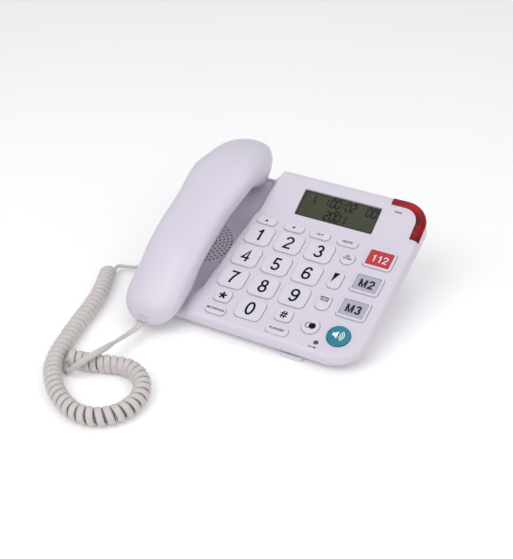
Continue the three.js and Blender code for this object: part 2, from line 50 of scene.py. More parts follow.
DECK_AT = (0.0, -9.8, 35.0)
FOLD = 43.7
BACK = 87.52
HALF_WIDTH = 94.5
FRONT = -66.0
SKIRT = -9.0


def place(x=0.0, y=0.0, z=0.0):
    return Matrix.Translation((x, y, z))


DECK = place(*DECK_AT) @ Matrix.Rotation(DECK_TILT, 4, "X")
DISPLAY = DECK @ place(0, FOLD, 0) @ Matrix.Rotation(DISPLAY_TILT, 4, "X")
HANDSET = DECK @ place(-69.2, 11.4, 12)


# ---- Camera ----
def make_camera():
    data = bpy.data.cameras.new("camera")
    camera = bpy.data.objects.new("camera", data)
    bpy.context.scene.collection.objects.link(camera)
    right = Vector((0.884, 0.4675, 0.0)).normalized()
    back = Vector((0.3853, -0.7283, 0.5667)).normalized()
    up = back.cross(right).normalized()
    right = up.cross(back).normalized()
    turn = Matrix((right, up, back)).transposed().to_4x4()
    camera.matrix_world = Matrix.Translation((0.3144, -0.6366, 0.5033)) @ turn
    data.sensor_width = 36.0
    data.sensor_fit = "AUTO"
    data.lens = 70.8
    data.clip_start = 0.01
    data.clip_end = 20.0
    bpy.context.scene.camera = camera


make_camera()


# ---- Meshes ----
def smooth_step(a, b, v):
    t = np.clip((np.asarray(v, float) - a) / (b - a), 0, 1)
    return t * t * (3 - 2 * t)


def put_mesh(name, points, faces, matrix=None, look=None, smooth=35.0):
    """A mesh in the frame's metres from points in millimetres of a local frame."""
    data = bpy.data.meshes.new(name)
    local = np.asarray(points, float).reshape(-1, 3)
    if matrix is not None:
        m = np.array(matrix)
        local = local @ m[:3, :3].T + m[:3, 3]
    data.from_pydata((local * MM).tolist(), [], [list(map(int, f)) for f in faces])
    data.validate()
    data.shade_smooth()
    if smooth is not None:
        data.set_sharp_from_angle(angle=math.radians(smooth))
    piece = bpy.data.objects.new(name, data)
    bpy.context.scene.collection.objects.link(piece)
    if look is not None:
        data.materials.append(look)
    return piece


def finish_piece(piece, body, replaces=()):
    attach(piece, body)
    if replaces:
        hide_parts(*replaces)
    return piece


def loft_faces(rings, around):
    faces = []
    for r in range(rings - 1):
        for i in range(around):
            j = (i + 1) % around
            faces.append((r * around + i, r * around + j, (r + 1) * around + j, (r + 1) * around + i))
    return faces


def loft(name, rings, matrix=None, look=None, caps=(True, True), smooth=35.0):
    """Rings of equal length, one after another, joined by quads and closed with flat ends."""
    around = len(rings[0])
    points = np.concatenate(rings)
    faces = loft_faces(len(rings), around)
    if caps[0]:
        faces.append(tuple(range(around))[::-1])
    if caps[1]:
        last = (len(rings) - 1) * around
        faces.append(tuple(range(last, last + around)))
    return put_mesh(name, points, faces, matrix, look, smooth)


def rounded(width, height, radius, inset=0.0, segments=6):
    """A rounded rectangle's outline, anticlockwise, drawn in by inset."""
    x = width / 2 - inset
    y = height / 2 - inset
    r = min(max(radius - inset, 0.15), x, y)
    if x - r < 1e-6 and y - r < 1e-6:
        turn = 2 * math.pi * np.arange(4 * segments) / (4 * segments)
        return np.column_stack([r * np.cos(turn), r * np.sin(turn)])
    out = []
    for sx, sy, start in ((1, 1, 0), (-1, 1, 90), (-1, -1, 180), (1, -1, 270)):
        for i in range(segments + 1):
            a = math.radians(start + 90 * i / segments)
            out.append((sx * (x - r) + r * math.cos(a), sy * (y - r) + r * math.sin(a)))
    return np.array(out)


def at_height(flat, z):
    return np.column_stack([flat, np.full(len(flat), float(z))])


# ---- Routes ----
def catmull(points, count):
    """A centripetal curve through the points, at even steps along its length."""
    p = np.array(points, float)
    p = np.vstack([2 * p[0] - p[1], p, 2 * p[-1] - p[-2]])
    out = []
    for i in range(1, len(p) - 2):
        p0, p1, p2, p3 = p[i - 1 : i + 3]
        t0 = 0.0
        t1 = t0 + math.sqrt(np.linalg.norm(p1 - p0))
        t2 = t1 + math.sqrt(np.linalg.norm(p2 - p1))
        t3 = t2 + math.sqrt(np.linalg.norm(p3 - p2))
        for t in np.linspace(t1, t2, 24, endpoint=False):
            a1 = (t1 - t) / (t1 - t0) * p0 + (t - t0) / (t1 - t0) * p1
            a2 = (t2 - t) / (t2 - t1) * p1 + (t - t1) / (t2 - t1) * p2
            a3 = (t3 - t) / (t3 - t2) * p2 + (t - t2) / (t3 - t2) * p3
            b1 = (t2 - t) / (t2 - t0) * a1 + (t - t0) / (t2 - t0) * a2
            b2 = (t3 - t) / (t3 - t1) * a2 + (t - t1) / (t3 - t1) * a3
            out.append((t2 - t) / (t2 - t1) * b1 + (t - t1) / (t2 - t1) * b2)
    out.append(p[-2])
    return resample(np.array(out), count)


def resample(line, count):
    steps = np.linalg.norm(np.diff(line, axis=0), axis=1)
    along = np.concatenate([[0], np.cumsum(steps)])
    wanted = np.linspace(0, along[-1], count)
    return np.column_stack([np.interp(wanted, along, line[:, k]) for k in range(3)])


def tangents(line):
    t = np.gradient(line, axis=0)
    return t / np.linalg.norm(t, axis=1)[:, None]


def tube(name, line, wide, thick, sides, look, across):
    """A tube along a line. across gives, at each point, the direction of its wide side."""
    t = tangents(line)
    across = across - t * np.sum(across * t, axis=1)[:, None]
    across = across / np.linalg.norm(across, axis=1)[:, None]
    other = np.cross(t, across)
    turn = 2 * np.pi * np.arange(sides) / sides

    def soft(v):
        return np.sign(v) * np.abs(v) ** 0.8

    rings = []
    for k in range(len(line)):
        ring = line[k] + np.outer(soft(np.cos(turn)) * wide / 2, across[k])
        rings.append(ring + np.outer(soft(np.sin(turn)) * thick / 2, other[k]))
    return loft(name, rings, None, look, smooth=60.0)


# ---- Materials ----
def srgb(r, g, b):
    out = []
    for v in (r, g, b):
        v = v / 255
        out.append(v / 12.92 if v <= 0.04045 else ((v + 0.055) / 1.055) ** 2.4)
    return (*out, 1.0)


class Look:
    """A node material: one Principled shader, with colour, roughness and bump from noise."""

    def __init__(self, name):
        self.material = bpy.data.materials.new(name)
        self.material.use_nodes = True
        self.tree = self.material.node_tree
        self.shader = self.tree.nodes["Principled BSDF"]
        self.coords = self.add("ShaderNodeTexCoord")

    def add(self, kind, **values):
        node = self.tree.nodes.new(kind)
        for key, value in values.items():
            if key in node.inputs:
                node.inputs[key].default_value = value
            else:
                setattr(node, key, value)
        return node

    def link(self, a, b):
        self.tree.links.new(a, b)

    def noise(self, scale, detail=3.0, roughness=0.5):
        node = self.add("ShaderNodeTexNoise", Scale=scale, Detail=detail, Roughness=roughness)
        self.link(self.coords.outputs["Object"], node.inputs["Vector"])
        return node.outputs["Fac"]

    def colours(self, factor, stops):
        ramp = self.add("ShaderNodeValToRGB")
        elements = ramp.color_ramp.elements
        for k, (at, color) in enumerate(stops):
            element = elements[k] if k < 2 else elements.new(at)
            element.position = at
            element.color = color
        self.link(factor, ramp.inputs["Fac"])
        self.link(ramp.outputs["Color"], self.shader.inputs["Base Color"])
        return ramp

    def roughness(self, factor, low, high):
        node = self.add("ShaderNodeMapRange")
        node.inputs["To Min"].default_value = low
        node.inputs["To Max"].default_value = high
        self.link(factor, node.inputs["Value"])
        self.link(node.outputs["Result"], self.shader.inputs["Roughness"])

    def bump(self, factor, strength, distance):
        node = self.add("ShaderNodeBump", Strength=strength, Distance=distance)
        self.link(factor, node.inputs["Height"])
        self.link(node.outputs["Normal"], self.shader.inputs["Normal"])

    def set(self, **values):
        for key, value in values.items():
            self.shader.inputs[key.replace("_", " ")].default_value = value
        return self


def shade(color, share):
    return (color[0] * share, color[1] * share, color[2] * share, 1.0)


def plastic(name, color, rough=0.35, grain=2600.0, strength=0.12, spread=0.04, **values):
    look = Look(name)
    fine = look.noise(grain, 2.0)
    speckle = look.noise(grain * 0.3, 4.0, 0.7)
    look.colours(speckle, [(0.3, shade(color, 1 - spread)), (0.7, shade(color, 1 + spread / 2))])
    look.roughness(fine, rough - 0.05, rough + 0.08)
    look.bump(fine, strength, 0.00006)
    look.set(**values)
    return look.material


SHELL = plastic("shell_plastic", srgb(213, 206, 219), 0.34, 2400, 0.16)
KEY = plastic("key_plastic", srgb(216, 211, 221), 0.42, 1900, 0.3)
GRIP = plastic("handset_plastic", srgb(214, 208, 221), 0.28, 2600, 0.06, 0.025)
INNER = plastic("handset_inner_plastic", srgb(204, 196, 209), 0.34, 2600, 0.1)
HULL = plastic("hull_plastic", srgb(204, 197, 210), 0.4, 2400, 0.2)
DARK = plastic("dark_plastic", srgb(42, 43, 42), 0.45, 2000, 0.2, 0.1)
TEAL = plastic("teal_plastic", srgb(2, 122, 144), 0.22, 2200, 0.08, 0.06)
INK = plastic("ink", srgb(8, 8, 10), 0.55, 3000, 0.1, 0.1, Specular_IOR_Level=0.15)
PALE_INK = plastic("pale_ink", srgb(236, 248, 250), 0.45, 3000, 0.1)
RUBBER = plastic("foot_rubber", srgb(216, 213, 220), 0.6, 1500, 0.3)
SHEATH = plastic("cord_sheath", srgb(206, 199, 197), 0.42, 1600, 0.22, 0.05)
METAL = plastic("capsule_metal", srgb(176, 178, 184), 0.3, 1800, 0.1, 0.05, Metallic=0.9)
MEMBRANE = plastic("membrane_rubber", srgb(184, 184, 184), 0.65, 900, 0.3)
BOARD = plastic("board_resin", srgb(40, 98, 56), 0.4, 500, 0.3, 0.15)
ALERT = plastic("alert_paper", srgb(206, 40, 54), 0.5, 2600, 0.2, 0.05)
PAPER = plastic("label_paper", srgb(190, 186, 208), 0.6, 2600, 0.2, 0.05)


def clear_look(name, color, alpha, rough):
    look = Look(name)
    fine = look.noise(900.0, 2.0)
    look.colours(fine, [(0.3, shade(color, 0.96)), (0.7, color)])
    look.roughness(fine, rough, rough + 0.05)
    look.set(Alpha=alpha)
    look.material.surface_render_method = "BLENDED"
    return look.material


CLEAR = clear_look("clear_cover", srgb(70, 70, 78), 0.05, 0.06)
PLUG = clear_look("clear_plug", srgb(222, 218, 224), 0.55, 0.15)


# ---- The cord: the route repeats the model's own points, in millimetres ----
BASE_TAIL = [
    (-92.6, -12, 12.5), (-97.5, -12.2, 12), (-106, -16.2, 9), (-112.5, -21.2, 6.8), (-119, -26.6, 5.2),
    (-127, -29.4, 5), (-132.5, -32.4, 5.6),
]
CURL = [
    (-135, -41.5), (-124.5, -67.8), (-119, -87.8), (-115, -110.8), (-110, -134.8), (-105, -153.3),
    (-98, -167.3), (-86, -180.8), (-71, -191.3), (-55, -196.3), (-42, -193.3), (-32, -184.3),
    (-27.5, -171.3), (-30, -156.3), (-39, -144.8), (-52, -139.8), (-65, -142.3), (-76, -146.3),
    (-87, -148.4), (-97, -150),
]
HANDSET_TAIL = [
    (-93.4, -157.8, 2.7), (-89.4, -161.2, 4.6), (-84.8, -161, 9), (-79.4, -157, 14),
    (-74.4, -149.6, 17.3), (-71.4, -138.6, 17),
    (-71.2, -122.3, 13.4), (-70.6, -110.3, 11.2), (-69.6, -102.5, 11), (-69.2, -96.75, 12.5),
]
CURL_HEIGHT = 7.05
WIRE_WIDE = 5.0
WIRE_THICK = 2.8
CURL_RADIUS = 6.75 - WIRE_THICK / 2


def coil_line():
    """The coiled wire's centre line: tight turns on the first run and open ones round the loop."""
    axis = catmull([(x, y, CURL_HEIGHT) for x, y in CURL], 1600)
    t = tangents(axis)
    along = np.concatenate([[0], np.cumsum(np.linalg.norm(np.diff(axis, axis=0), axis=1))])
    total = along[-1]
    share = along / total
    opened = 0.75 * smooth_step(0.36, 0.5, share)
    closed = 0.7 * smooth_step(0.8, 0.9, share)
    last_turn = 1.5 * smooth_step(0.975, 0.985, share)
    pitch = 5.15 + opened - closed + last_turn
    turns = np.concatenate([[0], np.cumsum(np.diff(along) / pitch[:-1])])
    samples = np.arange(0, turns[-1], 1 / 20)
    where = np.interp(samples, turns, along)
    centre = np.column_stack([np.interp(where, along, axis[:, k]) for k in range(3)])
    ahead = np.column_stack([np.interp(where, along, t[:, k]) for k in range(3)])
    ahead /= np.linalg.norm(ahead, axis=1)[:, None]
    side = np.cross(ahead, [0, 0, 1.0])
    side /= np.linalg.norm(side, axis=1)[:, None]
    up = np.cross(side, ahead)
    angle = -2 * np.pi * (samples - samples[-1]) + math.radians(-125)
    wobble = 1 + 0.03 * np.sin(2 * np.pi * samples * 0.37) + 0.02 * np.sin(2 * np.pi * samples * 0.11)
    radius = CURL_RADIUS * np.minimum(wobble, 1.0)
    radius = radius * np.clip(samples / 0.5, 0.5, 1)
    outward = side * np.cos(angle)[:, None] + up * np.sin(angle)[:, None]
    return centre + outward * radius[:, None], ahead


def make_cord():
    coil, ahead = coil_line()
    entry = coil[0] - (coil[1] - coil[0]) / np.linalg.norm(coil[1] - coil[0]) * 2.5 - ahead[0] * 1.5
    tail = catmull(BASE_TAIL + [tuple(entry), tuple(coil[0]), tuple(coil[2])], 60)
    tail = tail[np.linalg.norm(tail - coil[2], axis=1) > 0.4]
    coil, ahead = coil[2:], ahead[2:]
    line = np.vstack([tail, coil])
    blend = np.clip((np.arange(len(line)) - len(tail)) / 12, 0, 1)[:, None]
    wide = np.vstack([np.tile(ahead[0], (len(tail), 1)), ahead])
    flat = np.tile(np.array([0.385, -0.728, 0.567]), (len(line), 1))
    wide = wide * blend + flat * (1 - blend)
    cord = tube("cord_coil", line, WIRE_WIDE, WIRE_THICK, 12, SHEATH, wide)
    end = coil[-1]
    route = [tuple(coil[-4]), tuple(end)] + HANDSET_TAIL
    last = catmull(route, 90)
    turned = np.tile(np.array([1.0, 0.25, 0.1]), (len(last), 1))
    across = np.cross(tangents(last), [0.3853, -0.7283, 0.5667])
    first = np.clip(np.arange(len(last)) / 18, 0, 1)[:, None]
    then = smooth_step(35, 88, np.arange(len(last)))[:, None]
    facing = across * np.sign(across @ ahead[-1])[:, None]
    lie = (ahead[-1] * (1 - first) + facing * first) * (1 - then) + turned * then
    lead = tube("cord_tail", last, WIRE_WIDE * 0.92, WIRE_THICK * 0.96, 12, SHEATH, lie)
    finish_piece(cord, "base", ("cord_tail_base", "cord_curl"))
    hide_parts("cord_tail_handset")
    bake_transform(lead)


make_cord()


# ---- The base's top: a surface over the deck, the display panel and the cradle ----
CORNERS = {"back_right": 20.0, "back_left": 14.0, "front_left": 14.0, "front_right": 26.0}
EDGE_IN = 6.0
EDGE_DOWN = 5.4


def cradle_depth(v):
    middle = 2.4 + (13 - 2.4) * smooth_step(-48, -26, v)
    return middle + (7.4 - middle) * smooth_step(38, 54, v)


def top_height(x, v):
    """The top surface's height over the deck plane, in the deck's frame."""
    x = np.asarray(x, float)
    v = np.asarray(v, float)
    past = v - FOLD
    raised = math.tan(DISPLAY_TILT) * 0.5 * (past + np.sqrt(past * past + 4.0))
    edge = -40.7 + 0.055 * v + 2.6 * smooth_step(38, 52, v)
    down = 0.5 * (1 - np.cos(math.pi * np.clip((edge - x) / 10, 0, 1)))
    depth = cradle_depth(v)
    rim = 0.65 * smooth_step(-86, -91.5, x)
    return raised * (1 - down) - depth * down * (1 - rim)


def base_outline(inset, segments=14, straights=26):
    """The base's outline on the deck plane, anticlockwise from the right side's back end."""
    right = HALF_WIDTH - inset
    back = BACK - inset
    front = FRONT + inset
    spots = [
        (1, right, back, 1, CORNERS["back_right"], 0),
        (-1, right, back, 1, CORNERS["back_left"], 90),
        (-1, right, front, -1, CORNERS["front_left"], 180),
        (1, right, front, -1, CORNERS["front_right"], 270),
    ]
    arcs = []
    for sx, wide, v, sv, radius, start in spots:
        r = max(radius - inset, 2.0)
        cx = sx * (wide - r)
        cv = v - sv * r
        turn = np.radians(start + 90 * np.arange(segments + 1) / segments)
        arcs.append(np.column_stack([cx + r * np.cos(turn), cv + r * np.sin(turn)]))
    out = []
    for k, arc in enumerate(arcs):
        out.append(arc)
        following = arcs[(k + 1) % 4][0]
        share = (np.arange(1, straights) / straights)[:, None]
        out.append(arc[-1] * (1 - share) + following * share)
    return np.vstack(out)


def edge_ring(inset, extra=0.0):
    """A ring of the rounded edge: inset from the outline, and dropped by the edge's round."""
    flat = base_outline(inset)
    top = top_height(flat[:, 0], flat[:, 1])
    down = np.minimum(EDGE_DOWN, (top - SKIRT) * 0.7)
    share = max(0.0, 1 - inset / EDGE_IN)
    drop = down * (1 - (1 - share**2.3) ** (1 / 2.3))
    return np.column_stack([flat, top - drop - extra])


# Each opening in the top: x, v, width, height and corner radius, in the deck's frame
DIGITS = [[1, 2, 3], [4, 5, 6], [7, 8, 9]]
COLUMN_PITCH, ROW_PITCH = 26, 22.57
KEYS = {}
for row in range(3):
    for column in range(3):
        at = ((column - 1) * COLUMN_PITCH + 0.5, (1 - row) * ROW_PITCH - 0.5)
        KEYS["key_%d" % DIGITS[row][column]] = (*at, 21.6, 19.4, 4.5)
KEYS["key_0"] = (0.5, -45.5, 21.6, 19, 4.5)
KEYS["key_star"] = (-24.8, -41.5, 13.4, 11.4, 3.5)
KEYS["key_hash"] = (26.8, -42, 13.4, 11.4, 3.5)
for name, x in (("key_up", -26.2), ("key_down", -2.5), ("key_out", 20), ("key_delete", 43.3)):
    KEYS[name] = (x, 37.4, 17, 7, 3.4)
KEYS["key_store"] = (49.5, 23.4, 11.6, 11.6, 5.8)
KEYS["key_volume"] = (49.5, 1, 10, 16, 3.5)
KEYS["key_redial"] = (49.5, -21, 10.6, 14.5, 4.6)
KEYS["key_swap"] = (49.5, -44.2, 13.8, 13.8, 6.9)
KEYS["key_hold"] = (-24.1, -55.2, 17, 7.6, 3.7)
KEYS["key_flash"] = (27.7, -56, 18, 7.8, 3.8)
KEYS["speaker_button"] = (72.4, -45.3, 17.8, 17.8, 8.9)
for number, y in ((1, 30.4), (2, 5.3), (3, -19.4)):
    KEYS["memory_key_%d" % number] = (73, y, 23, 18.3, 3)
PLAY = 0.25
LIP = 0.18
WALL = 2.2
WINDOW = (24.2, 19.5, 65.7, 23.9)
LED = (59.0, -55.6, 1.8)
HOOK = (-69.2, 66.0, 9.0, 14.0)
GRILLE = (-69.2, 12.0)


def openings():
    """Every opening in the top: its outline at the surface and the same a lip's width in."""
    found = []
    for x, y, w, h, r in KEYS.values():
        spot = np.array([x, y])
        wide = rounded(w, h, r, -(PLAY + LIP), 5) + spot
        found.append((wide, rounded(w, h, r, -PLAY, 5) + spot, LIP))
    x, y, w, h = WINDOW
    c = math.cos(DISPLAY_TILT)
    wide = rounded(w, h, 1.0, -0.5, 3) + np.array([x, y])
    near = rounded(w, h, 1.0, -0.2, 3) + np.array([x, y])
    for flat in (wide, near):
        flat[:, 1] = FOLD + flat[:, 1] * c
    found.append((wide, near, 0.3))
    spot = np.array(LED[:2])
    found.append((rounded(3.6, 3.6, 1.8, -0.25, 4) + spot, rounded(3.6, 3.6, 1.8, -0.05, 4) + spot, 0.2))
    spot = np.array(HOOK[:2])
    wide = rounded(HOOK[2], HOOK[3], 2, -0.6, 3) + spot
    found.append((wide, rounded(HOOK[2], HOOK[3], 2, -0.3, 3) + spot, 0.3))
    for ring in range(7):
        count = max(1, 6 * ring)
        for k in range(count):
            turn = 2 * math.pi * (k + 0.5 * (ring % 2)) / count
            x = GRILLE[0] + 3.2 * ring * math.cos(turn)
            y = GRILLE[1] + 3.2 * ring * math.sin(turn)
            if x < -84.5:
                continue
            spot = np.array([x, y])
            wide = rounded(2.1, 2.1, 1.05, 0, 3) + spot
            found.append((wide, rounded(1.85, 1.85, 0.925, 0, 3) + spot, 0.12))
    return found


def inside(outline, x, y):
    """Which of the points lie inside a closed outline."""
    hit = np.zeros(len(x), bool)
    ax, ay = outline[:, 0], outline[:, 1]
    bx, by = np.roll(ax, -1), np.roll(ay, -1)
    for k in range(len(ax)):
        crosses = (ay[k] > y) != (by[k] > y)
        if not crosses.any():
            continue
        at = (bx[k] - ax[k]) * (y - ay[k]) / (by[k] - ay[k] + 1e-12) + ax[k]
        hit ^= crosses & (x < at)
    return hit


def clear_of(spots, outlines, margin):
    """Drops the spots that are inside an outline or near its points."""
    keep = np.ones(len(spots), bool)
    for outline in outlines:
        low = outline.min(0) - margin
        high = outline.max(0) + margin
        near = keep & (spots > low).all(1) & (spots < high).all(1)
        index = np.nonzero(near)[0]
        if not len(index):
            continue
        some = spots[index]
        gaps = np.linalg.norm(some[:, None] - outline[None], axis=2).min(1)
        keep[index[inside(outline, some[:, 0], some[:, 1]) | (gaps < margin)]] = False
    return spots[keep]


def top_surface():
    """Points and faces of the base's top, from the skirt's lower edge to the openings' walls."""
    rings = [at_height(base_outline(3.4), -6.5), at_height(base_outline(3.4), SKIRT + 0.1)]
    rings += [at_height(base_outline(1.3), SKIRT), at_height(base_outline(0.5), SKIRT + 0.25)]
    rings.append(at_height(base_outline(0.08), SKIRT + 0.8))
    for inset in (0.0, 0.1, 0.35, 0.75, 1.25, 1.9, 2.7, 3.6, 4.7, EDGE_IN):
        rings.append(edge_ring(inset))
    around = len(rings[0])
    points = list(np.vstack(rings))
    faces = loft_faces(len(rings), around)
    rim_from = (len(rings) - 1) * around
    holes = openings()
    border = rings[-1][:, :2]
    # The flat part: a triangulation of the border, the openings and a grid
    grid = []
    for x in np.arange(-87, -26, 2.4):
        for v in np.arange(-58.5, 80, 2.6):
            grid.append((x, v))
    for x in np.arange(-24, 88, 7.0):
        for v in (40.2, 41.7, 42.7, 43.7, 44.7, 45.7, 47.2):
            grid.append((x, v))
        for v in np.arange(-58, 80, 7.0):
            if not 39 < v < 49:
                grid.append((x, v))
    grid = np.array(grid)
    grid = grid[inside(base_outline(EDGE_IN + 1.0), grid[:, 0], grid[:, 1])]
    grid = clear_of(grid, [wide for wide, _, _ in holes], 0.7)
    flat = [tuple(p) for p in border]
    edges = [(i, (i + 1) % around) for i in range(around)]
    starts = []
    for wide, _, _ in holes:
        first = len(flat)
        starts.append(first)
        flat += [tuple(p) for p in wide]
        edges += [(first + i, first + (i + 1) % len(wide)) for i in range(len(wide))]
    flat += [tuple(p) for p in grid]
    result = geometry.delaunay_2d_cdt([Vector(p) for p in flat], edges, [], 0, 1e-5)
    out_points, _, out_faces, origins = result[0], result[1], result[2], result[3]
    made = np.array([tuple(p) for p in out_points])
    centres = np.array([made[list(f)].mean(0) for f in out_faces])
    keep = inside(border, centres[:, 0], centres[:, 1])
    for wide, _, _ in holes:
        low, high = wide.min(0), wide.max(0)
        near = keep & (centres > low).all(1) & (centres < high).all(1)
        index = np.nonzero(near)[0]
        if len(index):
            keep[index[inside(wide, centres[index, 0], centres[index, 1])]] = False
    place_of = {}
    for k, sources in enumerate(origins):
        for s in sources:
            if s < around:
                place_of[k] = rim_from + s
    from_input = {}
    for k, sources in enumerate(origins):
        for s in sources:
            from_input[s] = k
    heights = top_height(made[:, 0], made[:, 1])
    for k in range(len(made)):
        if k not in place_of:
            place_of[k] = len(points)
            points.append(np.array([made[k, 0], made[k, 1], heights[k]]))
    for f, kept in zip(out_faces, keep):
        if kept:
            faces.append(tuple(place_of[k] for k in f))
    # Each opening's lip and wall
    for (wide, near, lip), first in zip(holes, starts):
        count = len(wide)
        rim = [place_of[from_input[first + i]] for i in range(count)]
        tops = top_height(near[:, 0], near[:, 1])
        for drop in (lip, WALL):
            ring = []
            for i in range(count):
                ring.append(len(points))
                points.append(np.array([near[i, 0], near[i, 1], tops[i] - drop]))
            for i in range(count):
                j = (i + 1) % count
                faces.append((rim[j], rim[i], ring[i], ring[j]))
            rim = ring
    return np.array(points), faces


# The hull's skin and its lining: inset from the outline, and height over the deck plane
HULL_STEPS = [
    (4.2, -7.5), (1.4, -9.3), (1.9, -9.8), (4.2, -13.2), (7.2, -17.6), (10.6, -22.4), (13.4, -26.2),
    (14.6, -27.5), (16.4, -28),
]
LINING_STEPS = [(6.4, -7.5), (7, -13), (12.8, -22.4), (17, -25.8)]


def make_base():
    points, faces = top_surface()
    top = put_mesh("base_top", points, faces, DECK, SHELL, 32.0)
    finish_piece(top, "base", ("base_upper_shell",))
    # The hull under the skirt, drawn in as it goes down and flat on the underside at the front
    rings = []
    m = np.array(DECK)
    for inset, n in HULL_STEPS:
        rings.append(at_height(base_outline(inset), n))
    centre = np.array([0.0, (BACK + FRONT) / 2, -28.0])
    lining = [at_height(base_outline(inset), n) for inset, n in LINING_STEPS]
    inner = centre + [0, 0, 2.2]
    for share in (0.75, 0.5, 0.25, 0.02):
        rings.append(centre + (rings[8] - centre) * share)
        lining.append(inner + (lining[3] - inner) * share)
    for group, floor in ((rings, 4.0), (lining, 6.2)):
        for k in range(len(group)):
            world = group[k] @ m[:3, :3].T + m[:3, 3]
            world[:, 2] = np.maximum(world[:, 2], floor)
            group[k] = world
    hull = loft("base_hull", rings[::-1] + lining, None, HULL, smooth=30.0)
    finish_piece(hull, "base", ("base_lower_shell",))


make_base()


# ---- Keys ----
def cap_rings(w, h, r, top, fillet, crown, segments=6, low=-3.2):
    rings = [at_height(rounded(w, h, r, 0, segments), low)]
    for k in range(5):
        a = math.pi / 2 * k / 4
        edge = rounded(w, h, r, fillet * (1 - math.cos(a)), segments)
        rings.append(at_height(edge, top - fillet * (1 - math.sin(a))))
    flat = rounded(w, h, r, fillet, segments)
    for share in (0.85, 0.6, 0.3, 0.05):
        rings.append(at_height(flat * share, top + crown * (1 - share * share)))
    return rings


def text_mesh(name, words, size, x, y, z, matrix, look, bold=0.0):
    """Printed characters as a thin raised layer, centred on x, y."""
    curve = bpy.data.curves.new(name + "_curve", "FONT")
    curve.body = words
    curve.size = size * MM
    curve.extrude = 0.02 * MM
    curve.offset = bold * MM
    curve.resolution_u = 4
    curve.align_x = "CENTER"
    curve.align_y = "CENTER"
    holder = bpy.data.objects.new(name + "_holder", curve)
    bpy.context.scene.collection.objects.link(holder)
    graph = bpy.context.evaluated_depsgraph_get()
    data = bpy.data.meshes.new_from_object(holder.evaluated_get(graph))
    bpy.data.objects.remove(holder)
    bpy.data.curves.remove(curve)
    co = np.array([v.co for v in data.vertices]) / MM
    middle = (co.min(0) + co.max(0)) / 2
    co = co - [middle[0], middle[1], 0] + [x, y, z]
    m = np.array(matrix)
    world = (co @ m[:3, :3].T + m[:3, 3]) * MM
    data.vertices.foreach_set("co", world.astype(np.float32).ravel())
    data.update()
    data.name = name
    piece = bpy.data.objects.new(name, data)
    bpy.context.scene.collection.objects.link(piece)
    data.materials.clear()
    data.materials.append(look)
    return piece


def plate(name, outline, z, thick, matrix, look):
    """A thin flat shape from an outline."""
    rings = [at_height(outline, z - thick), at_height(outline, z)]
    return loft(name, rings, matrix, look)


def on_spot(matrix, x, y):
    return matrix @ place(x, y, 0)


def make_keys():
    top = 1.3
    for name, (x, y, w, h, r) in KEYS.items():
        spot = on_spot(DECK, x, y)
        if name.startswith("memory"):
            make_memory_key(name, w, h, r, spot)
            continue
        big = w > 20
        look = TEAL if name == "speaker_button" else KEY
        fillet = 0.5 if big else 0.42
        crown = 0.35 if name == "speaker_button" else 0.12
        segments = 14 if name in ("speaker_button", "key_swap", "key_store") else 7
        cap = loft(name + "_cap", cap_rings(w, h, r, top, fillet, crown, segments), spot, look, smooth=40.0)
        finish_piece(cap, name, (name,))
        z = top + crown + 0.03
        print_on(name, z, spot)


KEY_WORDS = {
    "key_out": "OUT", "key_delete": "DELETE", "key_store": "SET\nSTORE",
    "key_redial": "REDIAL\nPAUSE", "key_hold": "MUTE/HOLD", "key_flash": "FLASH/SET",
}


def print_on(name, z, spot):
    """The printed sign on a key."""
    made = []
    if name[4:].isdigit():
        made.append(figures(name + "_print", name[4:], 11.6, 1.75, z, spot, INK))
    elif name == "key_star":
        made.append(figures(name + "_print", "*", 7.0, 1.6, z, spot, INK))
    elif name == "key_hash":
        made.append(figures(name + "_print", "#", 6.4, 1.05, z, spot, INK))
    elif name in ("key_up", "key_down"):
        s = 1 if name == "key_up" else -1
        shape = np.array([(-1.5, -1.0 * s), (1.5, -1.0 * s), (0, 1.3 * s)])[:: s]
        made.append(plate(name + "_print", shape, z, 0.1, spot, INK))
    elif name == "key_volume":
        shape = np.array([(-2.9, 6.0), (-2.9, -3.4), (1.5, 6.4)])
        made.append(plate(name + "_print", shape, z, 0.1, spot, INK))
    elif name == "key_swap":
        disc = rounded(5.4, 5.4, 2.7, 0, 8)
        made.append(plate(name + "_print", disc + [1.5, 0.1], z + 0.05, 0.1, spot, INK))
        made.append(ring_plate(name + "_ring", 2.6, 2.05, (-1.6, 0.1), z, spot, INK))
    elif name == "speaker_button":
        made += speaker_icon(z, spot)
    else:
        words = KEY_WORDS[name]
        size = 2.3 if name in ("key_store", "key_redial") else 2.6
        up = 2.6 if name == "key_redial" else 0.4
        made.append(text_mesh(name + "_print", words, size, 0, up, z, spot, INK, 0.07))
    for piece in made:
        finish_piece(piece, name)


def arc(x, y, wide, high, start, end, count=16):
    turn = np.radians(np.linspace(start, end, count))
    return np.column_stack([x + wide * np.cos(turn), y + high * np.sin(turn)])


def bowed(points, count=12):
    return catmull([(x, y, 0) for x, y in points], count)[:, :2]


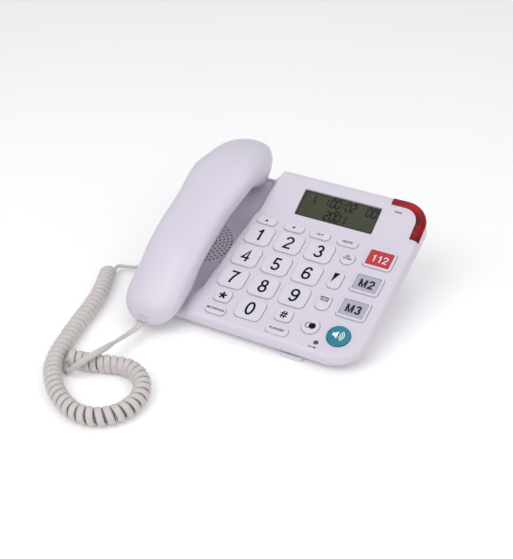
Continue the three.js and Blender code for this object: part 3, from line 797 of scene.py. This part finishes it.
def strokes_of(sign):
    """The centre lines of a figure one unit high, and its width."""
    belly = bowed([(0.065, 0.3), (0.09, 0.66), (0.2, 0.89), (0.34, 0.95), (0.46, 0.9), (0.52, 0.77)])
    six = [arc(0.3, 0.29, 0.235, 0.245, 0, 360, 28), belly]
    if sign == "0":
        return [arc(0.3, 0.5, 0.235, 0.455, 0, 360, 32)], 0.6
    if sign == "1":
        flag = bowed([(0.36, 0.95), (0.29, 0.82), (0.12, 0.74)], 8)
        return [np.array([(0.36, 0.0), (0.36, 1.0)]), flag], 0.5
    if sign == "2":
        neck = bowed([(0.49, 0.57), (0.24, 0.31), (0.07, 0.05)], 8)
        return [np.vstack([arc(0.3, 0.7, 0.23, 0.25, 175, -25, 18), neck, [(0.55, 0.05)]])], 0.6
    if sign == "3":
        lower = arc(0.29, 0.27, 0.235, 0.22, 90, -165, 20)
        return [arc(0.29, 0.725, 0.195, 0.225, 165, -90), lower], 0.6
    if sign == "4":
        return [np.array([(0.43, 0.0), (0.43, 0.93), (0.06, 0.3), (0.58, 0.3)])], 0.62
    if sign == "5":
        bowl = arc(0.29, 0.3, 0.235, 0.255, 145, -160, 24)
        return [np.vstack([[(0.5, 0.95), (0.15, 0.95)], [(0.1, 0.48)]]), bowl], 0.6
    if sign == "6":
        return six, 0.6
    if sign == "7":
        leg = bowed([(0.55, 0.95), (0.37, 0.64), (0.26, 0.32), (0.21, 0.0)], 10)
        return [np.vstack([[(0.05, 0.95)], leg])], 0.6
    if sign == "8":
        lower = arc(0.3, 0.28, 0.23, 0.235, 0, 360, 28)
        return [arc(0.3, 0.735, 0.185, 0.215, 0, 360, 28), lower], 0.6
    if sign == "9":
        return [np.array([0.6, 1.0]) - line for line in six], 0.6
    if sign == "M":
        middle = np.array([(0.1, 0.97), (0.4, 0.04), (0.7, 0.97)])
        return [np.array([(0.08, 0), (0.08, 1.0)]), middle, np.array([(0.72, 1.0), (0.72, 0)])], 0.8
    if sign == "*":
        arms = []
        for a in np.radians(np.arange(0, 360, 72)):
            arms.append(np.array([(0.5, 0.5), (0.5 + 0.46 * math.sin(a), 0.5 + 0.46 * math.cos(a))]))
        return arms, 1.0
    bars = [((0.22, 0), (0.38, 1.0)), ((0.55, 0), (0.71, 1.0))]
    bars += [((0.05, 0.67), (0.9, 0.67)), ((0.03, 0.32), (0.88, 0.32))]
    return [np.array(bar) for bar in bars], 0.93


def figures(name, words, high, thick, z, matrix, look, gap=0.16):
    """Figures drawn as thin raised strokes of an even width, centred on the matrix's origin."""
    wide = sum(strokes_of(c)[1] for c in words) + gap * (len(words) - 1)
    points, faces = [], []
    x = -wide / 2
    lift = 0.0
    for sign in words:
        lines, step = strokes_of(sign)
        for line in lines:
            line = (np.asarray(line, float) + [x, -0.5]) * high
            closed = np.linalg.norm(line[0] - line[-1]) < 1e-6
            ahead = np.diff(line, axis=0)
            ahead /= np.linalg.norm(ahead, axis=1)[:, None]
            before = np.vstack([ahead[-1:] if closed else ahead[:1], ahead])
            after = np.vstack([ahead, ahead[:1] if closed else ahead[-1:]])
            middle = before + after
            middle /= np.linalg.norm(middle, axis=1)[:, None]
            reach = 1 / np.maximum(np.sum(middle * after, axis=1), 0.55)
            side = np.column_stack([-middle[:, 1], middle[:, 0]]) * (reach * thick / 2)[:, None]
            rings = []
            for p, q in zip(line, side):
                upper = [(*(p + q), z + lift), (*(p - q), z + lift)]
                rings.append(upper + [(*(p - q), z - 0.12), (*(p + q), z - 0.12)])
            lift += 0.004
            first = len(points)
            for ring in rings:
                points += ring
            faces += [tuple(first + k for k in f) for f in loft_faces(len(rings), 4)]
            if not closed:
                last = first + 4 * (len(rings) - 1)
                faces.append((first + 3, first + 2, first + 1, first))
                faces.append((last, last + 1, last + 2, last + 3))
        x += step + gap
    return put_mesh(name, points, faces, matrix, look, 30.0)


def ring_plate(name, outer, inner, centre, z, matrix, look, start=0.0, end=360.0, count=28):
    """A flat ring or part of one."""
    whole = end - start >= 360
    turn = np.radians(np.linspace(start, end, count + 1))
    points = []
    for radius in (inner, outer):
        for height in (z - 0.1, z):
            for a in turn:
                points.append((centre[0] + radius * math.cos(a), centre[1] + radius * math.sin(a), height))
    n = count + 1
    faces = []
    for i in range(count):
        j = i + 1
        faces.append((n + i, 3 * n + i, 3 * n + j, n + j))
        faces.append((i, j, 2 * n + j, 2 * n + i))
        faces.append((i, n + i, n + j, j))
        faces.append((2 * n + i, 2 * n + j, 3 * n + j, 3 * n + i))
    if not whole:
        faces.append((0, 2 * n, 3 * n, n))
        faces.append((count, n + count, 3 * n + count, 2 * n + count))
    piece = put_mesh(name, points, faces, matrix, look)
    if whole:
        weld(piece)
    return piece


def weld(piece):
    made = bmesh.new()
    made.from_mesh(piece.data)
    bmesh.ops.remove_doubles(made, verts=made.verts, dist=1e-6)
    made.to_mesh(piece.data)
    made.free()


def speaker_icon(z, spot):
    horn = np.array([(-4.6, -1.3), (-3.1, -1.3), (-0.6, -3.2), (-0.6, 3.2), (-3.1, 1.3), (-4.6, 1.3)])
    made = [plate("speaker_horn", horn, z, 0.1, spot, PALE_INK)]
    for k, radius in enumerate((1.9, 3.3, 4.7)):
        name = "speaker_wave_%d" % (k + 1)
        outer, inner = radius + 0.3, radius - 0.3
        made.append(ring_plate(name, outer, inner, (-0.4, 0), z, spot, PALE_INK, -58, 58, 14))
    return made


def make_memory_key(name, w, h, r, spot):
    number = name[-1]
    low, top = -3.2, 1.55
    rings = [at_height(rounded(w, h, r, 0), low)]
    for inset, z in ((0, top - 0.7), (0.08, top - 0.35), (0.3, top - 0.1), (0.7, top), (1.5, top)):
        rings.append(at_height(rounded(w, h, r, inset), z))
    for inset, z in ((1.75, top - 0.15), (1.85, top - 0.5), (1.85, 0.1)):
        rings.append(at_height(rounded(w, h, r, inset), z))
    cap = loft(name + "_cap", rings, spot, KEY, smooth=35.0)
    finish_piece(cap, name, (name,))
    look = ALERT if number == "1" else PAPER
    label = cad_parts["memory_label_" + number]
    label.material_slots[0].material = look
    words = {"1": "112", "2": "M2", "3": "M3"}[number]
    if number == "1":
        ink, high, thick = PALE_INK, 6.6, 0.95
    else:
        blue = srgb(30, 32, 48)
        ink = plastic("blue_ink_" + number, blue, 0.5, 3000, 0.1, Specular_IOR_Level=0.2)
        high, thick = 7.2, 1.5
    sign = figures(name + "_print", words, high, thick, 0.84, spot, ink, 0.2)
    finish_piece(sign, name)
    rings = [at_height(rounded(19.2, 14.5, 1.2, 0), 1.0), at_height(rounded(19.2, 14.5, 1.2, 0), 1.7)]
    for inset, z in ((0.15, 1.9), (1.2, 2.45), (1.5, 2.5)):
        rings.append(at_height(rounded(19.2, 14.5, 1.2, inset), z))
    cover = loft("memory_cover_clear_" + number, rings, spot, CLEAR, smooth=20.0)
    finish_piece(cover, name, ("memory_cover_" + number,))


make_keys()


# ---- Lamp band round the back right corner ----
def make_lamp():
    lens = Look("lamp_lens")
    wide = lens.noise(70.0, 3.0)
    ribs = lens.add("ShaderNodeTexWave", Scale=160.0, Distortion=0.4)
    lens.link(lens.coords.outputs["Object"], ribs.inputs["Vector"])
    lens.colours(wide, [(0.34, srgb(84, 1, 8)), (0.56, srgb(150, 2, 14)), (0.8, srgb(192, 6, 20))])
    lens.bump(ribs.outputs["Fac"], 0.15, 0.0003)
    lens.roughness(wide, 0.2, 0.3)
    lens.set(Coat_Weight=0.0, Specular_IOR_Level=0.3)
    flat = base_outline(0.0)
    start = int(np.argmin(np.hypot(flat[:, 0] - HALF_WIDTH, flat[:, 1] - (FOLD + 13.0))))
    end = int(np.argmin(np.hypot(flat[:, 0] - 63.5, flat[:, 1] - BACK)))
    picks = [k % len(flat) for k in range(start, end + (len(flat) if end < start else 0) + 1)]
    rings = []
    for step, index in enumerate(picks):
        share = step / (len(picks) - 1)
        outer = 0.55 - 0.5 * float(smooth_step(0.1, 0.4, share))
        reach = 7.8
        line = []
        for along in np.linspace(0, 1, 11):
            inset = outer + (reach - outer) * along**1.5
            line.append(edge_ring(inset)[index])
        rings.append(line)
    rings = np.array(rings)
    middle = np.array([60.0, 40.0, -8.0])
    lifted = rings.copy()
    for i in range(len(rings)):
        for j in range(rings.shape[1]):
            out = rings[i, j] - middle
            out[2] = 0
            out /= np.linalg.norm(out)
            tilt = min(1.0, j / 6)
            proud = 0.6 if 0 < j < rings.shape[1] - 1 else 0.35
            lifted[i, j] = rings[i, j] + proud * (out * (1 - tilt) + np.array([0.0, 0.0, 0.3 + 0.7 * tilt]))
    loops = []
    for i in range(len(rings)):
        under = rings[i].copy()
        under[:, 2] -= 0.6
        under[:3, :2] -= 0.6 * (rings[i][:3, :2] - middle[:2]) / np.linalg.norm(rings[i][0, :2] - middle[:2])
        loops.append(np.vstack([lifted[i], under[::-1]]))
    band = loft("lamp_band", loops, DECK, lens.material, smooth=38.0)
    finish_piece(band, "base", ("ring_lamp_lens",))


make_lamp()


# ---- Display ----
SEGMENTS = {"0": "abcdef", "1": "bc", "2": "abged"}


def digit_shapes(character, x, y, w, h, t):
    """Seven-segment bars of one figure with its lower left corner at x, y."""
    lean = 0.06
    half = h / 2
    spots = {
        "a": ((0, h), (w, h)), "b": ((w, h), (w, half)), "c": ((w, half), (w, 0)), "d": ((0, 0), (w, 0)),
        "e": ((0, 0), (0, half)), "f": ((0, half), (0, h)), "g": ((0, half), (w, half)),
    }
    out = []
    if character == ":":
        for up in (0.3, 0.7):
            c = np.array([x + w / 2 + lean * up * h, y + up * h])
            out.append(np.array([(-t / 2, -t / 2), (t / 2, -t / 2), (t / 2, t / 2), (-t / 2, t / 2)]) + c)
        return out
    for segment in SEGMENTS[character]:
        (ax, ay), (bx, by) = spots[segment]
        a = np.array([x + ax + lean * ay, y + ay])
        b = np.array([x + bx + lean * by, y + by])
        d = (b - a) / np.linalg.norm(b - a)
        side = np.array([-d[1], d[0]])
        a = a + d * t * 0.15
        b = b - d * t * 0.15
        lower = [a, a + (d - side) * t / 2, b - (d + side) * t / 2]
        out.append(np.array(lower + [b, b + (side - d) * t / 2, a + (d + side) * t / 2]))
    return out


def make_display():
    x, y, w, h = WINDOW
    spot = on_spot(DISPLAY, x, y)
    screen = Look("lcd_panel")
    grain = screen.noise(700.0, 3.0)
    screen.colours(grain, [(0.3, srgb(66, 70, 54)), (0.7, srgb(74, 78, 60))])
    screen.roughness(grain, 0.3, 0.4)
    screen.set(Specular_IOR_Level=0.2)
    screen.bump(grain, 0.05, 0.00004)
    rings = [at_height(rounded(w, h, 0.8, 0.2), -2.1), at_height(rounded(w, h, 0.8, 0.2), -1.75)]
    panel = loft("lcd_panel", rings, spot, screen.material)
    finish_piece(panel, "base")
    rings = [at_height(rounded(w, h, 0.8, 0.15), -1.1), at_height(rounded(w, h, 0.8, 0.15), -0.15)]
    pane = loft("lcd_pane", rings, spot, clear_look("lcd_pane_clear", srgb(60, 64, 56), 0.06, 0.05))
    finish_piece(pane, "base", ("display_window",))
    black = plastic("lcd_frame", srgb(34, 36, 30), 0.35, 2200, 0.15)
    rings = []
    for inset, z in ((0.12, -1.74), (0.12, -1.56), (1.35, -1.56), (1.5, -1.74)):
        rings.append(at_height(rounded(w, h, 0.8, inset), z))
    rings.append(rings[0].copy())
    border = loft("lcd_border", rings, spot, black, caps=(False, False))
    weld(border)
    finish_piece(border, "base")
    shapes = []
    rows = (
        ("1", -26.0, 4.3, 2.4, 7.2),
        (":00:02", -13.2, 4.4, 2.4, 7.2),
        ("00", 22.0, 4.6, 2.4, 7.2),
        ("2001", -9.6, 4.7, -9.4, 7.4),
    )
    for words, x, step, y, tall in rows:
        for k, character in enumerate(words):
            shapes += digit_shapes(character, x + step * k, y, 3.4, tall, 1.3)
    shapes.append(np.array([(-22.0, 2.0), (-21.0, 2.0), (-21.0, 3.0), (-22.0, 3.0)]))
    shapes.append(np.array([(-2.4, -0.8), (1.6, -0.8), (1.6, 0.3), (-2.4, 0.3)]))
    points, faces = [], []
    for shape in shapes:
        first = len(points)
        n = len(shape)
        points += [(px, py, -1.75) for px, py in shape] + [(px, py, -1.69) for px, py in shape]
        faces.append(tuple(range(first + n, first + 2 * n)))
        faces.append(tuple(range(first, first + n))[::-1])
        for i in range(n):
            j = (i + 1) % n
            faces.append((first + i, first + j, first + n + j, first + n + i))
    ink = plastic("lcd_ink", srgb(14, 16, 12), 0.5, 2500, 0.1, Specular_IOR_Level=0.15)
    figures = put_mesh("lcd_figures", points, faces, spot, ink)
    finish_piece(figures, "base")
    sign = text_mesh("lamp_print", "RING", 2.4, 70.5, 31.5, 0.03, DISPLAY, INK, 0.06)
    finish_piece(sign, "base")


make_display()


# ---- Handset ----
GRIP_HALF, EAR_HALF, MOUTH_HALF = 23.7, 27.0, 23.0
EAR_LIFT = 4.5
RISE, THICK, EAR_DROP, MOUTH_DROP = 23.0, 22.3, 19.0, 14.0
HALF_LONG = 99.0
SQUARE = 2 / 2.6


def round_end(start, power, value):
    return np.sqrt(1 - np.maximum(0, (value - start) / (1 - start)) ** power)


def section(s):
    out = abs(s)
    half, drop = (EAR_HALF, EAR_DROP) if s > 0 else (MOUTH_HALF, MOUTH_DROP)
    near, far = (0.0, 0.45) if s > 0 else (0.25, 0.75)
    width = GRIP_HALF + (half - GRIP_HALF) * float(smooth_step(near, far, out))
    top = RISE * (1 - s * s) + (EAR_LIFT if s > 0 else 0.0) * float(smooth_step(0.0, 0.6, out))
    cheek = float(smooth_step(0.4, 0.65, out))
    bottom = (1 - cheek) * (top - THICK) - cheek * drop
    height = (top - bottom) / 2 * float(round_end(0.58 if s > 0 else 0.82, 3.0, out))
    return width * float(round_end(0.42 if s > 0 else 0.7, 2.8, out)), (top + bottom) / 2, height


def squared(v):
    return np.sign(v) * np.abs(v) ** SQUARE


def half_shell(upper, inset, rows=110, around=44):
    """The outer skin of one handset shell, from the seam on one side to the seam on the other."""
    s_all = np.sin(np.linspace(-math.pi / 2, math.pi / 2, rows)) * 0.9995
    rings = []
    for s in s_all:
        width, middle, height = section(float(s))
        width = max(width - inset, 0.05)
        height = max(height - inset, 0.05)
        seam = 0.85 * RISE * (1 - s * s) - 11.5 + (0.0 if upper else -0.3)
        q = max(-0.9, min(0.9, (seam - middle) / height))
        a = math.asin(math.copysign(abs(q) ** (1 / SQUARE), q))
        low, high = (a, math.pi - a) if upper else (math.pi - a, 2 * math.pi + a)
        turn = np.linspace(low, high, around)
        x = width * squared(np.cos(turn))
        z = middle + height * squared(np.sin(turn))
        y = np.full(around, s * (HALF_LONG - inset))
        rings.append(np.column_stack([x, y, z]))
    return np.array(rings)


def shell_piece(name, upper, look):
    outer = half_shell(upper, 0.0 if upper else 0.35)
    lip = half_shell(upper, 0.35 if upper else 0.7)
    inner = half_shell(upper, 2.0 if upper else 2.35)
    move = 0.25 if upper else -0.25
    rows, around = outer.shape[:2]
    loops = []
    for k in range(rows):
        a, b = outer[k].copy(), inner[k].copy()
        first, last = lip[k][0].copy(), lip[k][-1].copy()
        first[2] -= move
        last[2] -= move
        loops.append(np.vstack([a, last, b[::-1], first]))
    return loft(name, loops, HANDSET, look, smooth=50.0)


def make_handset():
    upper = shell_piece("handset_top", True, GRIP)
    finish_piece(upper, "handset", ("handset_outer_shell",))
    lower = shell_piece("handset_under", False, INNER)
    finish_piece(lower, "handset", ("handset_inner_shell",))


make_handset()


# ---- Small pieces ----
def make_small():
    x, y, r = LED
    r -= 0.15
    rings = [at_height(rounded(2 * r, 2 * r, r, 0, 6), -2.0)]
    for k in range(5):
        a = math.pi / 2 * k / 4
        circle = rounded(2 * r, 2 * r, r, 0.98 * r * (1 - math.cos(a)), 6)
        rings.append(at_height(circle, 0.9 * math.sin(a) - 0.3))
    lamp = plastic("led_lens", srgb(110, 20, 34), 0.12, 1500, 0.05, 0.1, Coat_Weight=0.5)
    dome = loft("status_led_dome", rings, on_spot(DECK, x, y), lamp, smooth=60.0)
    finish_piece(dome, "base", ("status_led",))
    sign = text_mesh("led_print", "IN USE", 2.0, x - 1.0, y - 4.6, 0.03, DECK, INK, 0.05)
    finish_piece(sign, "base")


make_small()


# ---- Looks of the model's own nodes ----
def soften(node, width):
    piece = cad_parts[node]
    bevel = piece.modifiers.new("edges", "BEVEL")
    bevel.width = width * MM
    bevel.segments = 3
    bevel.limit_method = "ANGLE"
    bevel.angle_limit = math.radians(40)
    bevel.harden_normals = False


NODE_LOOKS = {
    "desk_stand": HULL, "display_module": DARK, "keypad_membrane": MEMBRANE, "main_board": BOARD,
    "loudspeaker": DARK, "hook_plunger": KEY, "hook_switch": DARK, "foot_front_left": RUBBER,
    "foot_front_right": RUBBER, "foot_rear_left": RUBBER, "foot_rear_right": RUBBER,
    "base_handset_jack": DARK, "line_jack": DARK, "receiver_capsule": DARK, "microphone_capsule": METAL,
    "handset_jack": INNER, "cord_plug_handset": PLUG, "cord_plug_base": PLUG,
}
for node, look in NODE_LOOKS.items():
    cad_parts[node].material_slots[0].material = look
SOFT_EDGES = {
    "desk_stand": 1.2, "foot_front_left": 0.6, "foot_front_right": 0.6, "foot_rear_left": 0.6,
    "foot_rear_right": 0.6, "cord_plug_handset": 0.5, "cord_plug_base": 0.5, "hook_plunger": 0.5,
}
for node, width in SOFT_EDGES.items():
    soften(node, width)


# ---- Floor, light and background ----
def make_stage():
    size = 3.0
    data = bpy.data.meshes.new("floor")
    corners = [(-size, -size, 0), (size, -size, 0), (size, size, 0), (-size, size, 0)]
    data.from_pydata(corners, [], [(0, 1, 2, 3)])
    floor = bpy.data.objects.new("floor", data)
    bpy.context.scene.collection.objects.link(floor)
    look = Look("floor_paper")
    grain = look.noise(4.0, 2.0)
    look.colours(grain, [(0.2, (0.93, 0.93, 0.93, 1)), (0.8, (0.95, 0.95, 0.95, 1))])
    look.set(Roughness=0.9, Specular_IOR_Level=0.1, Emission_Color=(1, 1, 1, 1), Emission_Strength=0.1)
    data.materials.append(look.material)
    world = bpy.data.worlds.new("room")
    bpy.context.scene.world = world
    world.use_nodes = True
    background = world.node_tree.nodes["Background"]
    background.inputs["Color"].default_value = (0.97, 0.975, 1.0, 1)
    background.inputs["Strength"].default_value = 0.48
    for name, at, size, power in (
        ("key_light", (-0.3, -0.8, 1.15), 1.0, 7.5),
        ("top_light", (0.1, 0.4, 1.3), 1.2, 3.5),
        ("fill_light", (0.9, -0.6, 0.95), 1.2, 4.5),
    ):
        lamp = bpy.data.lights.new(name, "AREA")
        lamp.size = size
        lamp.energy = power
        holder = bpy.data.objects.new(name, lamp)
        holder.location = at
        holder.rotation_mode = "QUATERNION"
        holder.rotation_quaternion = (Vector(at) - Vector((-0.02, -0.04, 0.03))).to_track_quat("Z", "Y")
        bpy.context.scene.collection.objects.link(holder)
    bpy.context.scene.view_settings.view_transform = "Standard"


make_stage()
